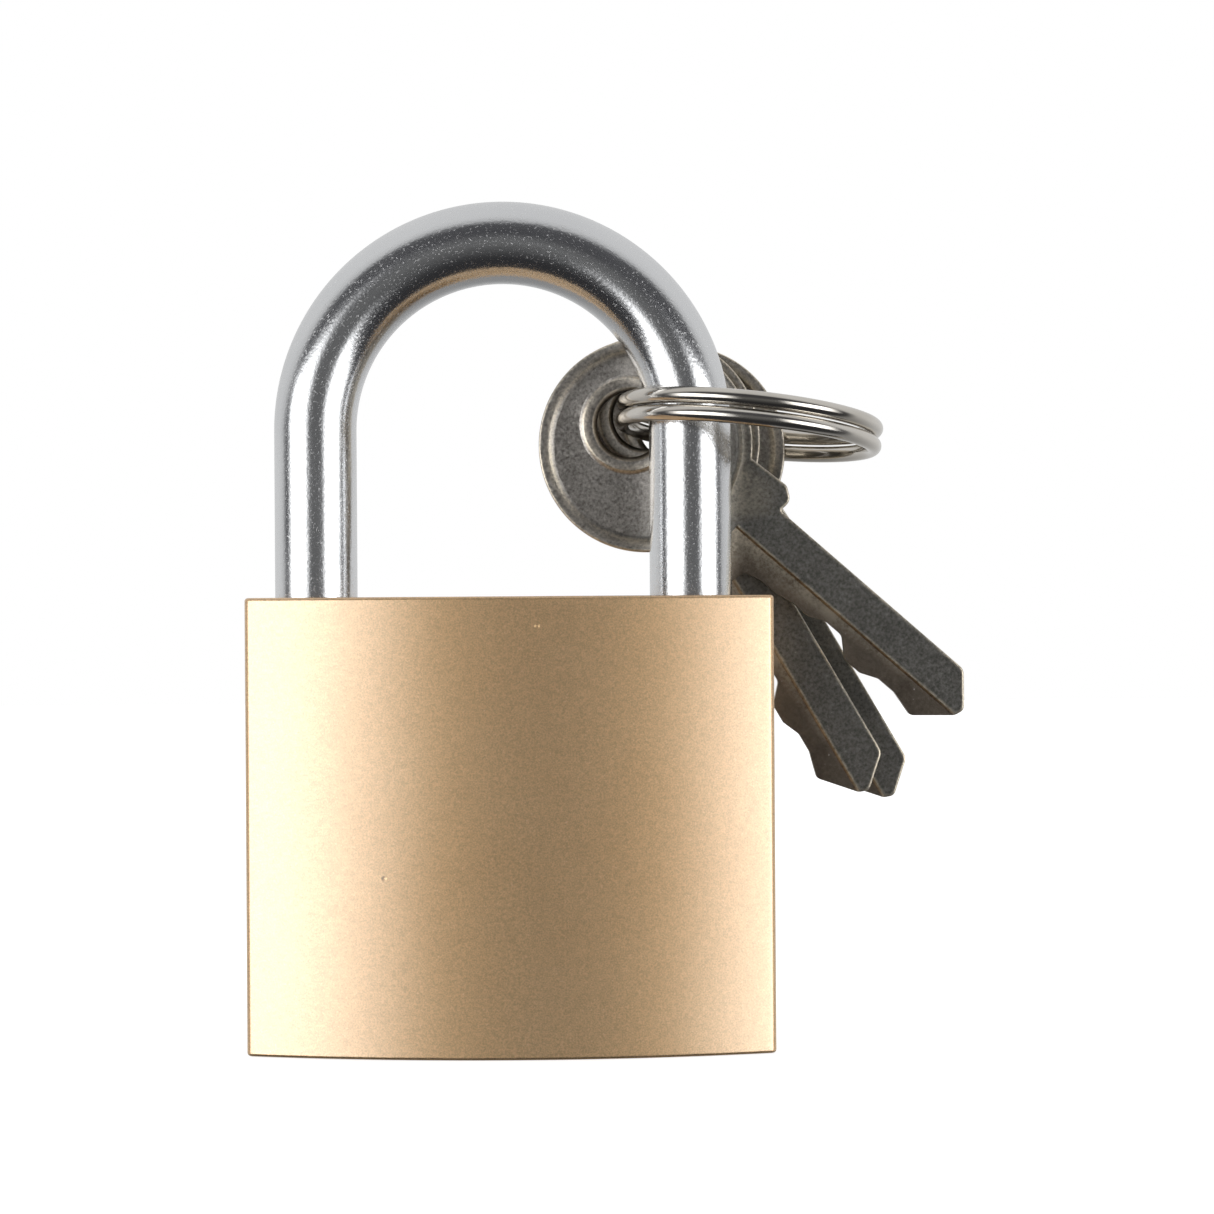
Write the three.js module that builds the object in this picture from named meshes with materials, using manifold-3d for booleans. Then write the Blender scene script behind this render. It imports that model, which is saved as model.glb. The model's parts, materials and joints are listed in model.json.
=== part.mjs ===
// A solid brass padlock, 40 mm wide, with three keys on a split ring. Millimetres, +Z up, +X to
// the right and -Y towards the viewer. The origin is the middle of the case's bottom face, on the
// axis of the cylinder plug. The shackle is shut. The plug stands a quarter turn from home, so the
// latch bolt is drawn back and the shackle is free to lift.
import * as THREE from "three";
import { mergeVertices } from "three/addons/utils/BufferGeometryUtils.js";
import Module from "manifold-3d";

const wasm = await Module();
wasm.setup();

// Driving dimensions
const CASE_WIDTH = 40;
const CASE_HEIGHT = 34.6;
const CASE_DEPTH = 15; // across the crowned faces
const CASE_SIDE_DEPTH = 8.5; // across the flat narrow sides
const CASE_EDGE = 0.45;
const BAR_RADIUS = 3.15; // the shackle's round bar
const BAR_SPACING = 28.75;
const BAR_OFFSET = -0.525; // the legs stand a little left of the case's middle
const SHACKLE_HEIGHT = 30.3; // above the case
const LIFT = 10.8;
const PLUG_RADIUS = 5;
const PLUG_LENGTH = 21;
const PLUG_RECESS = 0.3;
const PIN_COUNT = 5;
const PIN_RADIUS = 1.2;
const PIN_PITCH = 3;
const FIRST_PIN = 3.4; // above the case's bottom
const BITTING = [0.4, 0.7, 1.3, 0, 0.6]; // depths of the cuts, from the shoulder to the tip
const LATCH_RADIUS = 2.6;
const LATCH_Z = 29.2;
const CRANK_THROW = 1.45;
const RING_RADIUS = 9.72; // middle of the wire
const RING_WIRE = 0.65;
const KEY_BOW_RADIUS = 8.35;
const KEY_LENGTH = 32.3; // from the middle of the bow to the tip
const KEY_THICKNESS = 1.7;

// Worked out from them
const CLEARANCE = 0.15;
const HEEL_X = BAR_OFFSET - BAR_SPACING / 2;
const TOE_X = BAR_OFFSET + BAR_SPACING / 2;
const ARCH_RADIUS = BAR_SPACING / 2;
const ARCH_Z = CASE_HEIGHT + SHACKLE_HEIGHT - BAR_RADIUS - ARCH_RADIUS;
const TOE_DEPTH = LIFT - 0.3;
const TOE_Z = CASE_HEIGHT - TOE_DEPTH;
const NOTCH_DEPTH = 2.2;
const HEEL_PIN_Z = 22.4;
const CROSS_PIN_RADIUS = 1;
const COLLAR_TOP = HEEL_PIN_Z - CROSS_PIN_RADIUS - LIFT - 0.1;
const COLLAR_HEIGHT = 2.5;
const HEEL_Z = COLLAR_TOP - COLLAR_HEIGHT;
const HEEL_NECK = 2.1;
const HEEL_BORE_Z = 2.5;
const PLUG_TOP = PLUG_RECESS + PLUG_LENGTH;
const PLUG_NECK = 2.5;
const NECK_TOP = LATCH_Z - LATCH_RADIUS - 0.5;
const CRANK_RADIUS = 0.9;
const CRANK_REST = THREE.MathUtils.degToRad(225);
const CRANK_X = CRANK_THROW * Math.cos(CRANK_REST);
const GROOVE_RADIUS = 3.8;
const GROOVE_Z = 18.6;
const GROOVE_PIN_X = -GROOVE_RADIUS - CROSS_PIN_RADIUS - 0.1;
const HEEL_PIN_X = HEEL_X + HEEL_NECK + CROSS_PIN_RADIUS + 0.1;
const CROSS_PIN_FRONT = -5;
const LATCH_TIP = TOE_X - BAR_RADIUS - 2 * CLEARANCE;
const LATCH_TAIL = -3.4;
const LATCH_BORE_END = -9.4;
const KEYWAY_WIDTH = 2.1;
const BLADE_TOP = 3; // above the key's middle line
const BLADE_BOTTOM = -2.5;
const BLADE_STEP = -0.1; // the blade is thinner below this line
const BLADE_EDGE = 2.75; // uncut edge of an inserted blade, from the plug's axis
const KEY_PIN_FLOOR = 0.5;
const DRIVER_LENGTH = 3.75;
const DRIVER_START = PLUG_RADIUS + 0.1;
const CAP_LENGTH = 2.5;
const CAP_END = CASE_WIDTH / 2 - 0.1;
const KEY_HOLE_RADIUS = 2.55;
const KEY_HOLE_OFFSET = 2; // from the middle of the bow, away from the blade
const KEY_HOLE_RISE = 0.4; // and towards the uncut edge
const KEY_DISH = 0.14; // depth of the bow's dish and of the blade's step, as a share of the thickness
const KEY_RIM = 0.8; // width of the bow's raised rim
const KEY_BOSS = 1.2; // width of the raised ring around the hole
const KEY_SHOULDER = 11.1;
const RING_CENTRE = new THREE.Vector3(18.47, 2.2, 47.75);
const RING_TILT = new THREE.Euler(THREE.MathUtils.degToRad(-4.4), THREE.MathUtils.degToRad(6.5), 0);
const RING_PITCH = 2 * RING_WIRE + 0.06;

const brass = { color: 0xc8a56b, roughness: 0.4, metalness: 1 };
const brassPale = { color: 0xcdb27c, roughness: 0.35, metalness: 1 };
const steel = { color: 0xd8dbe0, roughness: 0.15, metalness: 1 };
const springSteel = { color: 0x9a9da2, roughness: 0.35, metalness: 1 };
const nickel = { color: 0xb9b2a6, roughness: 0.2, metalness: 1 };
const keyNickel = { color: 0x8a8378, roughness: 0.35, metalness: 1 };

// Solids: every shape is a three.js geometry turned into a manifold, joined or cut, and read back

function solid(geometry, position = [0, 0, 0], rotation = [0, 0, 0]) {
  const placed = geometry.clone();
  placed.deleteAttribute("normal");
  placed.deleteAttribute("uv");
  const turn = new THREE.Matrix4().makeRotationFromEuler(new THREE.Euler(...rotation));
  placed.applyMatrix4(turn.setPosition(...position));
  const merged = mergeVertices(placed, 1e-4);
  return new wasm.Manifold(
    new wasm.Mesh({
      numProp: 3,
      vertProperties: merged.attributes.position.array,
      triVerts: new Uint32Array(merged.index.array),
    }),
  );
}

function geometryOf(manifold) {
  const mesh = manifold.getMesh();
  const geometry = new THREE.BufferGeometry();
  const points = new Float32Array(mesh.numVert * 3);
  for (let i = 0; i < mesh.numVert; i++) {
    const start = i * mesh.numProp;
    points.set(mesh.vertProperties.subarray(start, start + 3), i * 3);
  }
  geometry.setAttribute("position", new THREE.BufferAttribute(points, 3));
  geometry.setIndex(new THREE.BufferAttribute(new Uint32Array(mesh.triVerts), 1));
  geometry.computeVertexNormals();
  return geometry;
}

const QUARTER = Math.PI / 2;

function rodZ(radius, low, high, x = 0, y = 0, sides = 24) {
  const rod = new THREE.CylinderGeometry(radius, radius, high - low, sides);
  return solid(rod, [x, y, (low + high) / 2], [QUARTER, 0, 0]);
}

function rodX(radius, low, high, y = 0, z = 0, sides = 24) {
  const rod = new THREE.CylinderGeometry(radius, radius, high - low, sides);
  return solid(rod, [(low + high) / 2, y, z], [0, 0, QUARTER]);
}

function rodY(radius, low, high, x = 0, z = 0, sides = 24) {
  const rod = new THREE.CylinderGeometry(radius, radius, high - low, sides);
  return solid(rod, [x, (low + high) / 2, z]);
}

function block(low, high) {
  const size = high.map((value, axis) => value - low[axis]);
  const middle = high.map((value, axis) => (value + low[axis]) / 2);
  return solid(new THREE.BoxGeometry(...size), middle);
}

function join(first, ...others) {
  return others.reduce((whole, piece) => whole.add(piece), first);
}

function cut(first, ...others) {
  return others.reduce((whole, piece) => whole.subtract(piece), first);
}

const padlock = new THREE.Group();

function addMesh(name, geometry, finish, parent = padlock) {
  const mesh = new THREE.Mesh(geometry, new THREE.MeshStandardMaterial(finish));
  mesh.name = name;
  parent.add(mesh);
  return mesh;
}

// A closed helical spring along +Z from the origin
class Helix extends THREE.Curve {
  constructor(radius, length, turns) {
    super();
    this.radius = radius;
    this.length = length;
    this.turns = turns;
  }
  getPoint(t) {
    const angle = t * this.turns * 2 * Math.PI;
    const x = this.radius * Math.cos(angle);
    const y = this.radius * Math.sin(angle);
    return new THREE.Vector3(x, y, t * this.length);
  }
}

function round(radius, sides) {
  const outline = [];
  for (let i = 0; i < sides; i++) {
    const angle = (i / sides) * 2 * Math.PI;
    outline.push(new THREE.Vector2(radius * Math.cos(angle), radius * Math.sin(angle)));
  }
  return new THREE.Shape(outline);
}

function spring(radius, wire, length, turns, stepsPerTurn) {
  return new THREE.ExtrudeGeometry(round(wire, 5), {
    steps: turns * stepsPerTurn,
    extrudePath: new Helix(radius, length - 2 * wire, turns),
  }).translate(0, 0, wire);
}

// Brass case: two crowned faces between flat narrow sides, drilled for everything it holds

function crown(x) {
  const rise = (CASE_DEPTH - CASE_SIDE_DEPTH) / 2;
  const radius = (CASE_WIDTH ** 2 / 4 + rise ** 2) / (2 * rise);
  return CASE_DEPTH / 2 - radius + Math.sqrt(radius ** 2 - x ** 2);
}

function caseOutline(inset) {
  const steps = 16;
  const side = CASE_WIDTH / 2 - inset;
  const outline = new THREE.Shape();
  const corner = CASE_SIDE_DEPTH / 2 - inset;
  outline.moveTo(side, -corner + CASE_EDGE);
  outline.lineTo(side, corner - CASE_EDGE);
  for (let i = 0; i <= steps; i++) {
    const x = (side - CASE_EDGE) * Math.cos((i / steps) * Math.PI);
    outline.lineTo(x, crown(x) - inset);
  }
  outline.lineTo(-side, corner - CASE_EDGE);
  outline.lineTo(-side, -corner + CASE_EDGE);
  for (let i = 0; i <= steps; i++) {
    const x = -(side - CASE_EDGE) * Math.cos((i / steps) * Math.PI);
    outline.lineTo(x, inset - crown(x));
  }
  return outline;
}

function pinZ(index) {
  return FIRST_PIN + index * PIN_PITCH;
}

function makeCase() {
  const blank = new THREE.ExtrudeGeometry(caseOutline(CASE_EDGE), {
    depth: CASE_HEIGHT - 2 * CASE_EDGE,
    bevelEnabled: true,
    bevelSize: CASE_EDGE,
    bevelThickness: CASE_EDGE,
    bevelSegments: 1,
  }).translate(0, 0, CASE_EDGE);
  const legBore = BAR_RADIUS + CLEARANCE;
  const past = CASE_HEIGHT + 1;
  const side = CASE_WIDTH / 2 + 1;
  let body = cut(
    solid(blank),
    rodZ(legBore, HEEL_BORE_Z, past, HEEL_X),
    rodZ(legBore, TOE_Z - 0.3, past, TOE_X),
    rodZ(PLUG_RADIUS + CLEARANCE, -1, PLUG_TOP + CLEARANCE),
    rodZ(PLUG_NECK + CLEARANCE, PLUG_TOP - 1, LATCH_Z),
    rodX(LATCH_RADIUS + 0.1, LATCH_BORE_END, side, 0, LATCH_Z),
    crossPinHole(GROOVE_PIN_X, GROOVE_Z),
    crossPinHole(HEEL_PIN_X, HEEL_PIN_Z),
  );
  for (let i = 0; i < PIN_COUNT; i++) {
    body = cut(body, rodX(PIN_RADIUS + 0.1, PLUG_RADIUS - 1, side, 0, pinZ(i), 16));
  }
  return body;
}

// A straight pin beside a turned neck, pressed in from the back and ground flush
function crossPin(x, z) {
  return rodY(CROSS_PIN_RADIUS, CROSS_PIN_FRONT, crown(x) - 0.1, x, z, 16);
}

function crossPinHole(x, z) {
  return rodY(CROSS_PIN_RADIUS + 0.05, CROSS_PIN_FRONT - 0.05, CASE_DEPTH, x, z, 16);
}

addMesh("lock_body", geometryOf(makeCase()), brass);

addMesh("plug_retaining_pin", geometryOf(crossPin(GROOVE_PIN_X, GROOVE_Z)), brassPale);
addMesh("heel_retaining_pin", geometryOf(crossPin(HEEL_PIN_X, HEEL_PIN_Z)), brassPale);

const latchCap = rodX(LATCH_RADIUS, CAP_END - CAP_LENGTH, CAP_END, 0, LATCH_Z);
addMesh("latch_hole_cap", geometryOf(latchCap), brassPale);

// Shackle: one bar from the toe over the arch to the heel, with the toe's notch and heel's neck

class Arch extends THREE.Curve {
  getPoint(t) {
    const angle = t * Math.PI;
    const x = BAR_OFFSET + ARCH_RADIUS * Math.cos(angle);
    return new THREE.Vector3(x, 0, ARCH_Z + ARCH_RADIUS * Math.sin(angle));
  }
}

function makeShackle() {
  const arch = new THREE.ExtrudeGeometry(round(BAR_RADIUS, 24), {
    steps: 22,
    extrudePath: new Arch(),
  });
  const seat = 0.02;
  const neckTop = HEEL_PIN_Z + CROSS_PIN_RADIUS + 0.3;
  const tip = new THREE.CylinderGeometry(BAR_RADIUS, BAR_RADIUS - 0.6, 0.8, 24);
  const whole = join(
    solid(arch),
    rodZ(BAR_RADIUS, TOE_Z + 0.8, ARCH_Z + seat, TOE_X),
    solid(tip, [TOE_X, 0, TOE_Z + 0.4], [QUARTER, 0, 0]),
    rodZ(BAR_RADIUS, neckTop, ARCH_Z + seat, HEEL_X),
    rodZ(HEEL_NECK, HEEL_Z, neckTop + seat, HEEL_X),
    rodZ(BAR_RADIUS, HEEL_Z, COLLAR_TOP, HEEL_X),
  );
  const inner = TOE_X - BAR_RADIUS;
  const half = LATCH_RADIUS + 0.2;
  const notch = block(
    [inner - 1, -BAR_RADIUS - 1, LATCH_Z - half],
    [inner + NOTCH_DEPTH, BAR_RADIUS + 1, LATCH_Z + half],
  );
  return cut(whole, notch);
}

addMesh("shackle", geometryOf(makeShackle()), steel);

const heelSpring = spring(2.3, 0.4, HEEL_Z - HEEL_BORE_Z - 0.2, 4, 12);
addMesh("shackle_spring", heelSpring, springSteel).position.set(HEEL_X, 0, HEEL_BORE_Z + 0.1);

// Cylinder plug and its key pins, drawn in the home position and turned back a quarter turn

const plugGroup = new THREE.Group();
plugGroup.rotation.z = -QUARTER;
padlock.add(plugGroup);

function makePlug() {
  const crankHome = CRANK_REST + QUARTER;
  const crankX = CRANK_THROW * Math.cos(crankHome);
  const crankY = CRANK_THROW * Math.sin(crankHome);
  let plug = join(
    rodZ(PLUG_RADIUS, PLUG_RECESS, PLUG_TOP, 0, 0, 32),
    rodZ(PLUG_NECK, PLUG_TOP - 0.5, NECK_TOP),
    rodZ(CRANK_RADIUS, NECK_TOP - 0.5, LATCH_Z - 0.8, crankX, crankY, 16),
  );
  const half = KEYWAY_WIDTH / 2;
  const bladeHeight = BLADE_TOP - BLADE_BOTTOM;
  const slotTop = BLADE_EDGE - bladeHeight - CLEARANCE;
  const slotBottom = BLADE_EDGE + CLEARANCE;
  const last = PLUG_TOP - 0.8;
  plug = cut(
    plug,
    block([slotTop, -half, PLUG_RECESS - 1], [slotBottom, half, last]),
  );
  // a ward along one wall narrows the keyway beside the thin part of the blade
  const wardLow = slotBottom + BLADE_BOTTOM - BLADE_STEP;
  const wardDepth = 0.25;
  const ward = block(
    [wardLow, -half - 0.1, PLUG_RECESS + 0.2],
    [slotBottom + 0.1, -half + wardDepth, last + 0.1],
  );
  plug = join(plug, ward);
  const groove = cut(
    rodZ(PLUG_RADIUS + 1, GROOVE_Z - 1.3, GROOVE_Z + 1.3, 0, 0, 32),
    rodZ(GROOVE_RADIUS, GROOVE_Z - 2, GROOVE_Z + 2, 0, 0, 32),
  );
  plug = cut(plug, groove);
  for (let i = 0; i < PIN_COUNT; i++) {
    plug = cut(plug, rodX(PIN_RADIUS + 0.1, KEY_PIN_FLOOR, PLUG_RADIUS + 1, 0, pinZ(i), 16));
  }
  return plug;
}

addMesh("cylinder_plug", geometryOf(makePlug()), brassPale, plugGroup);

function pointedPin(length) {
  const outline = [
    new THREE.Vector2(0, 0),
    new THREE.Vector2(0.4, 0),
    new THREE.Vector2(PIN_RADIUS, 0.7),
    new THREE.Vector2(PIN_RADIUS, length),
    new THREE.Vector2(0, length),
  ];
  return new THREE.LatheGeometry(outline, 16);
}

for (let i = 0; i < PIN_COUNT; i++) {
  const innerEnd = BLADE_EDGE - BITTING[i];
  const length = PLUG_RADIUS - 0.15 - innerEnd;
  const keyPin = addMesh(`key_pin_${i + 1}`, pointedPin(length), brassPale, plugGroup);
  keyPin.rotation.z = -QUARTER;
  keyPin.position.set(innerEnd, 0, pinZ(i));
}

// Driver pins, their springs and the caps that close their chambers, in the case

for (let i = 0; i < PIN_COUNT; i++) {
  const driverEnd = DRIVER_START + DRIVER_LENGTH;
  const driver = rodX(PIN_RADIUS, DRIVER_START, driverEnd, 0, pinZ(i), 16);
  addMesh(`driver_pin_${i + 1}`, geometryOf(driver), springSteel);
  const room = CAP_END - CAP_LENGTH - driverEnd - 0.2;
  const pinSpring = addMesh(`pin_spring_${i + 1}`, spring(0.95, 0.17, room, 5, 8), springSteel);
  pinSpring.rotation.y = QUARTER;
  pinSpring.position.set(driverEnd + 0.1, 0, pinZ(i));
  const cap = rodX(PIN_RADIUS, CAP_END - CAP_LENGTH, CAP_END, 0, pinZ(i), 16);
  addMesh(`chamber_cap_${i + 1}`, geometryOf(cap), brassPale);
}

// Latch bolt: a round bolt with a slot underneath for the crank pin, and the spring behind it

function makeLatch() {
  const half = CRANK_RADIUS + 0.1;
  const slot = block(
    [CRANK_X - half, -LATCH_RADIUS - 1, LATCH_Z - LATCH_RADIUS - 1],
    [CRANK_X + half, LATCH_RADIUS + 1, LATCH_Z - 0.5],
  );
  return cut(rodX(LATCH_RADIUS, LATCH_TAIL, LATCH_TIP, 0, LATCH_Z), slot);
}

addMesh("latch_bolt", geometryOf(makeLatch()), springSteel);

const latchSpringRoom = LATCH_TAIL - LATCH_BORE_END - 0.2;
const latchSpring = addMesh("latch_spring", spring(1.9, 0.3, latchSpringRoom, 4, 12), springSteel);
latchSpring.rotation.y = QUARTER;
latchSpring.position.set(LATCH_BORE_END + 0.1, 0, LATCH_Z);

// Split ring: two flat turns of round wire, one above the other, with a short step between them

class SplitRing extends THREE.Curve {
  getPoint(t) {
    const gap = 20;
    const degrees = gap + t * (720 - 2 * gap);
    const step = THREE.MathUtils.smoothstep(degrees, 360 - gap, 360 + gap);
    const angle = THREE.MathUtils.degToRad(degrees + 100);
    const x = RING_RADIUS * Math.cos(angle);
    const y = RING_RADIUS * Math.sin(angle);
    return new THREE.Vector3(x, y, (step - 0.5) * RING_PITCH);
  }
}

const ringGeometry = new THREE.ExtrudeGeometry(round(RING_WIRE, 8), {
  steps: 68,
  extrudePath: new SplitRing(),
});
const ring = addMesh("split_ring", ringGeometry, nickel);
ring.position.copy(RING_CENTRE);
ring.rotation.copy(RING_TILT);

// Keys: a round bow with a rim and a boss, a shank with a nub, and a grooved and cut blade.
// The key lies along +X with its thickness along Y, and its origin is the middle of its hole.

function keyOutline() {
  const outline = new THREE.Shape();
  const root = Math.asin(BLADE_BOTTOM / KEY_BOW_RADIUS);
  const start = Math.asin((BLADE_TOP + 0.5) / KEY_BOW_RADIUS);
  const steps = 32;
  for (let i = 0; i <= steps; i++) {
    const angle = start + (i / steps) * (2 * Math.PI + root - start);
    outline.lineTo(KEY_BOW_RADIUS * Math.cos(angle), KEY_BOW_RADIUS * Math.sin(angle));
  }
  // bitting along the lower edge: a flat at each cut's depth, with sloping sides
  BITTING.forEach((depth, i) => {
    const middle = KEY_SHOULDER + FIRST_PIN + i * PIN_PITCH;
    outline.lineTo(middle - 0.8, BLADE_BOTTOM + depth);
    outline.lineTo(middle + 0.8, BLADE_BOTTOM + depth);
  });
  outline.lineTo(KEY_LENGTH - 3.6, BLADE_BOTTOM + 0.2);
  outline.lineTo(KEY_LENGTH - 2.8, BLADE_BOTTOM + 0.1);
  outline.lineTo(KEY_LENGTH - 0.3, -0.1);
  outline.lineTo(KEY_LENGTH, 0.6);
  outline.lineTo(KEY_LENGTH - 2, BLADE_TOP - 0.1);
  outline.lineTo(KEY_LENGTH - 2.3, BLADE_TOP);
  outline.lineTo(KEY_SHOULDER + 0.4, BLADE_TOP);
  outline.lineTo(KEY_SHOULDER + 0.3, BLADE_TOP + 1.1);
  outline.lineTo(KEY_SHOULDER - 0.3, BLADE_TOP + 1.6);
  outline.lineTo(KEY_SHOULDER - 1.1, BLADE_TOP + 1.5);
  outline.lineTo(KEY_SHOULDER - 2, BLADE_TOP + 0.8);
  outline.closePath();
  return outline;
}

function makeKey() {
  const half = KEY_THICKNESS / 2;
  const floor = half - KEY_THICKNESS * KEY_DISH;
  const lie = [QUARTER, 0, 0];
  const blank = new THREE.ExtrudeGeometry(keyOutline(), {
    depth: KEY_THICKNESS,
    bevelEnabled: false,
  });
  const past = KEY_BOW_RADIUS + 1;
  const dish = cut(
    rodY(KEY_BOW_RADIUS - KEY_RIM, floor, 2, 0, 0, 32),
    rodY(KEY_HOLE_RADIUS + KEY_BOSS, -2, 3, -KEY_HOLE_OFFSET, KEY_HOLE_RISE, 24),
  );
  const step = block([past, -2, BLADE_BOTTOM - 1], [KEY_LENGTH + 1, -floor, BLADE_STEP]);
  const hole = rodY(KEY_HOLE_RADIUS, -2, 2, -KEY_HOLE_OFFSET, KEY_HOLE_RISE, 24);
  const whole = solid(blank, [0, half, 0], lie);
  const key = cut(whole, dish, dish.mirror([0, 1, 0]), step, hole);
  return key.translate([KEY_HOLE_OFFSET, 0, -KEY_HOLE_RISE]);
}

const keyGeometry = geometryOf(makeKey());

// Each key hangs in a plane that faces the viewer, where the ring's wire passes through its hole.
// The hole has play around the wire: across and up are from the wire to the middle of the hole.
function addKey(name, planeY, slopeDegrees, across, up) {
  const away = Math.asin((planeY - RING_CENTRE.y) / RING_RADIUS);
  const onWire = new THREE.Vector3(-RING_RADIUS * Math.cos(away), RING_RADIUS * Math.sin(away), 0);
  onWire.applyEuler(RING_TILT).add(RING_CENTRE);
  const key = addMesh(name, keyGeometry, keyNickel);
  key.position.set(onWire.x + across, planeY, onWire.z + up);
  key.rotation.y = THREE.MathUtils.degToRad(slopeDegrees);
}

addKey("key_front", 4.6, 41.2, 0.15, -0.65);
addKey("key_middle", 7, 59.8, 0.45, 0.4);
addKey("key_back", 9.6, 59.6, 0.4, 0.2);

export default padlock;
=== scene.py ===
"""The looks of a 40 mm brass padlock with three keys on a split ring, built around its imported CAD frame.

Sizes below are in millimetres, and every mesh is scaled to metres as it is made. The case and shackle
face -Y, and places come from the frame's boxes and joints.
"""
import json
import math

import bmesh
import bpy
from mathutils import Matrix, Vector


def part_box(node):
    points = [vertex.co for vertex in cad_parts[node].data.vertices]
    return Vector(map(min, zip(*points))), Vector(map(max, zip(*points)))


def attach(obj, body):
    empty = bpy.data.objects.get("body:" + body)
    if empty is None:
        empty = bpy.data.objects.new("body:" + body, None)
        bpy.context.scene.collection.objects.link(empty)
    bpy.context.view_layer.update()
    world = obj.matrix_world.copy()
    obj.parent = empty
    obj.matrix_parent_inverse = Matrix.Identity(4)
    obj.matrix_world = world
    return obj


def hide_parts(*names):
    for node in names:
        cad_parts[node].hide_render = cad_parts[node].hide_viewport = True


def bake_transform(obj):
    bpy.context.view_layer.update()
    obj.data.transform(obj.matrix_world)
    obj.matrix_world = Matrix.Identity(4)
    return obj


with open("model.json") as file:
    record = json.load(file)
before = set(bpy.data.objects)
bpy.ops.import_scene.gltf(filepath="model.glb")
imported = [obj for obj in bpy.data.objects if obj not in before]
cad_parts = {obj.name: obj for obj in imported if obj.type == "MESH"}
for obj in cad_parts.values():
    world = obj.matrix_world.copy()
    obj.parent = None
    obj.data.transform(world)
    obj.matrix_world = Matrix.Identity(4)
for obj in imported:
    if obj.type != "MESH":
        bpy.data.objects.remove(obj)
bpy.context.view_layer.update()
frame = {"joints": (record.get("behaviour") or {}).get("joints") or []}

MM = 0.001
PINS = range(1, 6)

# Sizes that the frame's boxes don't give. The round wire and the keys are a hair thinner than their CAD
# solids, whose facets cut corners, so that the back key clears the ring at the end of its swing.
SIDE_DEPTH = 8.5
CASE_EDGE = 0.25
CASE_CORNER = 0.6
BORE_GAP = 0.15
LATCH_RADIUS = 2.6
CROSS_PIN_RADIUS = 1.0
PIN_RADIUS = 1.2
TOE_Z = 24.1
NOTCH_DEPTH = 2.2
HEEL_NECK = 2.1
HEEL_COLLAR = 2.5
PLUG_TOP = 21.3
NECK_RADIUS = 2.5
GROOVE_RADIUS = 3.8
GROOVE_HALF = 1.3
CRANK_RADIUS = 0.9
CRANK_THROW = 1.45
CRANK_TURN = math.radians(225)
CRANK_X = CRANK_THROW * math.cos(CRANK_TURN)
CRANK_Y = CRANK_THROW * math.sin(CRANK_TURN)
KEYWAY_HALF = 1.05
KEYWAY_EDGE = 2.9
WARD_START = 0.5
WARD_DEPTH = 0.25
KEY_BOW = 8.35
KEY_HOLE = 2.55
KEY_HOLE_OFFSET = 2.0
KEY_HOLE_RISE = 0.4
KEY_LENGTH = 32.3
KEY_THICKNESS = 1.55
KEY_DISH = 0.14 * KEY_THICKNESS
KEY_EDGE = 0.14
KEY_SHOULDER = 11.1
KEY_NECK_LOW, KEY_NECK_HIGH = -4.3, 4.6
BLADE_START = KEY_SHOULDER - 1.6 + KEY_HOLE_OFFSET
KEY_CUTS = (0.4, 0.7, 1.3, 0.0, 0.6)
FIRST_CUT = 3.4
CUT_PITCH = 3.0
BLADE_TOP = 3.0
BLADE_BOTTOM = -2.5
BLADE_STEP = -0.1
STEP_LINE = BLADE_STEP - KEY_HOLE_RISE
KEY_SLOPES = {"key_front": 41.2, "key_middle": 59.8, "key_back": 59.6}
RING_WIRE = 0.63
RING_PITCH = 1.36
RING_RADIUS = 9.72
RING_TILT = (math.radians(-4.4), math.radians(6.5))
RING_END_GAP = 20
RING_FIRST_TURN = 100


def box_mm(node):
    """The CAD node's lowest and highest corner and its middle, in millimetres."""
    low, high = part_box(node)
    return low / MM, high / MM, (low + high) / (2 * MM)


def joint_place(name):
    """The pivot of a hinge, in millimetres."""
    found = [j for j in frame["joints"] if j["name"] == name][0]
    return Vector(found["pos_m"]) / MM


# ---------------------------------------------------------------- mesh building


def new_object(name, verts, faces):
    """A mesh object from vertices in millimetres."""
    mesh = bpy.data.meshes.new(name)
    mesh.from_pydata([tuple(c * MM for c in v) for v in verts], [], faces)
    obj = bpy.data.objects.new(name, mesh)
    bpy.context.scene.collection.objects.link(obj)
    return obj


def tidy(obj, sharp_degrees=32, weighted=False):
    """Turns the faces out, smooths them and keeps the edges sharper than the angle."""
    bm = bmesh.new()
    bm.from_mesh(obj.data)
    bmesh.ops.remove_doubles(bm, verts=bm.verts, dist=1e-7)
    bmesh.ops.recalc_face_normals(bm, faces=bm.faces)
    for face in bm.faces:
        face.smooth = True
    limit = math.radians(sharp_degrees)
    for edge in bm.edges:
        edge.smooth = len(edge.link_faces) == 2 and edge.calc_face_angle(0) < limit
    bm.to_mesh(obj.data)
    bm.free()
    if weighted:
        modifier = obj.modifiers.new("weighted", "WEIGHTED_NORMAL")
        modifier.keep_sharp = True
    return obj


def settle(obj):
    """Replaces the object's mesh by what its modifiers make of it."""
    bpy.context.view_layer.update()
    seen = obj.evaluated_get(bpy.context.evaluated_depsgraph_get())
    obj.data = bpy.data.meshes.new_from_object(seen)
    obj.modifiers.clear()


def combine(obj, operation, *others):
    """Cuts the other solids out of obj, or joins them to it, and removes them."""
    for other in others:
        modifier = obj.modifiers.new("boolean", "BOOLEAN")
        modifier.operation = operation
        modifier.solver = "EXACT"
        modifier.object = other
    settle(obj)
    for other in others:
        bpy.data.objects.remove(other)


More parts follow.
